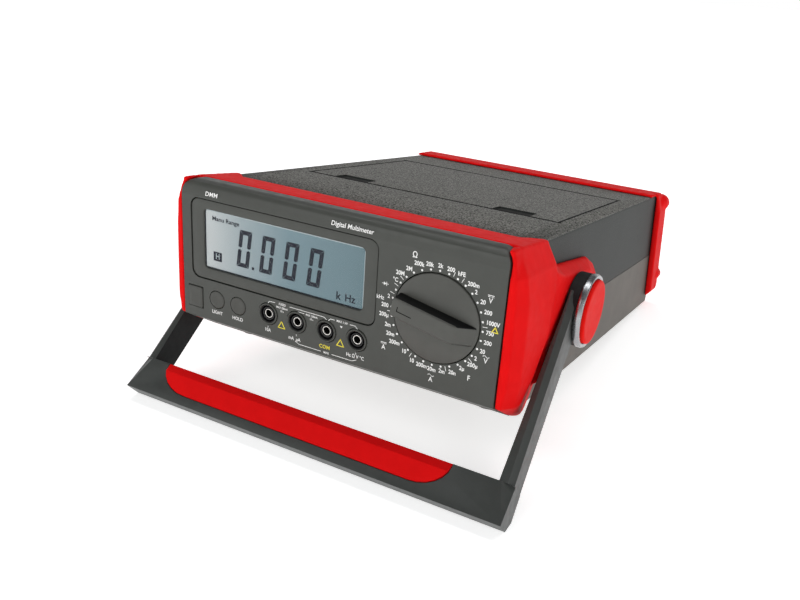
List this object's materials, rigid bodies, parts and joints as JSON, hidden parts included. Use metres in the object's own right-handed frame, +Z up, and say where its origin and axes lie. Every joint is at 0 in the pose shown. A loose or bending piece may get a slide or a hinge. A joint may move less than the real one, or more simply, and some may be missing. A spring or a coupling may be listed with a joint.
{
  "type": "bench multimeter",
  "caption": "Digital bench multimeter with a front display, rotary range switch, banana sockets, soft bumpers and a folding carrying handle used as a prop stand.",
  "frame": {"origin": "middle of the bounding box at bench height, with the meter standing on its handle and rear feet", "axes": "-Y towards the user, +X to the right of someone facing the panel, +Z up; the case is tipped back 6 degrees"},
  "size_m": [0.2384, 0.3726, 0.1323],
  "materials": {
    "shell": "fine grain, moulded",
    "red_rubber": "soft satin",
    "red_plastic": "satin",
    "panel_plastic": "satin",
    "black_plastic": "satin",
    "clear_window": "clear, polished",
    "display": "liquid crystal, smooth",
    "diffuser": "diffuse white",
    "bright_metal": "plated",
    "rim_metal": "satin",
    "fuse": "plated caps",
    "board": "solder-masked laminate",
    "core": "laminated steel, varnished",
    "winding": "taped coil",
    "cell": "sleeved steel can",
    "foot_rubber": "matte",
    "handle_plastic": "satin, glass-filled"
  },
  "bodies": {
    "case": {"upper_case": "shell", "lower_case": "shell", "front_bumper": "red_rubber", "rear_bumper": "red_rubber", "front_panel": "panel_plastic", "rear_panel": "panel_plastic", "lcd_bezel": "panel_plastic", "lcd_window": "clear_window", "lcd_glass": "display", "lcd_backlight": "diffuser", "lcd_carrier": "black_plastic", "power_switch": "black_plastic", "light_switch": "black_plastic", "hold_switch": "black_plastic", "jack_body_1": "black_plastic", "jack_sleeve_1": "bright_metal", "jack_body_2": "black_plastic", "jack_sleeve_2": "bright_metal", "jack_body_3": "black_plastic", "jack_sleeve_3": "bright_metal", "jack_body_4": "black_plastic", "jack_sleeve_4": "bright_metal", "main_board": "board", "fuse_1": "fuse", "fuse_2": "fuse", "transformer_core": "core", "transformer_coil": "winding", "power_board": "board", "mains_inlet": "black_plastic", "accessory_tray": "black_plastic", "battery_box": "black_plastic", "cell_1l": "cell", "cell_1r": "cell", "cell_2l": "cell", "cell_2r": "cell", "cell_3l": "cell", "cell_3r": "cell", "battery_door": "shell", "case_screw_1": "bright_metal", "case_screw_2": "bright_metal", "case_screw_3": "bright_metal", "case_screw_4": "bright_metal", "front_foot_l": "foot_rubber", "front_foot_r": "foot_rubber", "hub_bolt_l": "bright_metal", "hub_bolt_r": "bright_metal"},
    "handle": {"handle_bail": "handle_plastic", "handle_grip": "red_rubber", "hub_rim_l": "rim_metal", "hub_rim_r": "rim_metal", "hub_cap_l": "red_plastic", "hub_cap_r": "red_plastic"},
    "knob": {"range_knob": "panel_plastic", "switch_rotor": "black_plastic"},
    "power_key": {"power_button": "panel_plastic"},
    "light_key": {"light_button": "panel_plastic"},
    "hold_key": {"hold_button": "panel_plastic"},
    "lid": {"accessory_lid": "shell"}
  },
  "joints": [
    {"name": "handle_turn", "type": "hinge", "parent": "case", "child": "handle", "pos_m": [0, -0.07505, 0.08045], "axis": [-1, 0, 0], "range_deg": [0, 190]},
    {"name": "knob_turn", "type": "hinge", "parent": "case", "child": "knob", "pos_m": [0.0633, -0.15852, 0.08993], "axis": [0, 1, 0.0087], "continuous": true},
    {"name": "power_press", "type": "slide", "parent": "case", "child": "power_key", "axis": [0, 1, 0.0087], "range_m": [0, 0.003]},
    {"name": "light_press", "type": "slide", "parent": "case", "child": "light_key", "axis": [0, 1, 0.0087], "range_m": [0, 0.0015], "stiffness_N_per_m": 600, "springref_m": -0.001},
    {"name": "hold_press", "type": "slide", "parent": "case", "child": "hold_key", "axis": [0, 1, 0.0087], "range_m": [0, 0.0015], "stiffness_N_per_m": 600, "springref_m": -0.001},
    {"name": "lid_turn", "type": "hinge", "parent": "case", "child": "lid", "pos_m": [0, 0.07598, 0.10449], "axis": [-1, 0, 0], "range_deg": [0, 100]}
  ]
}
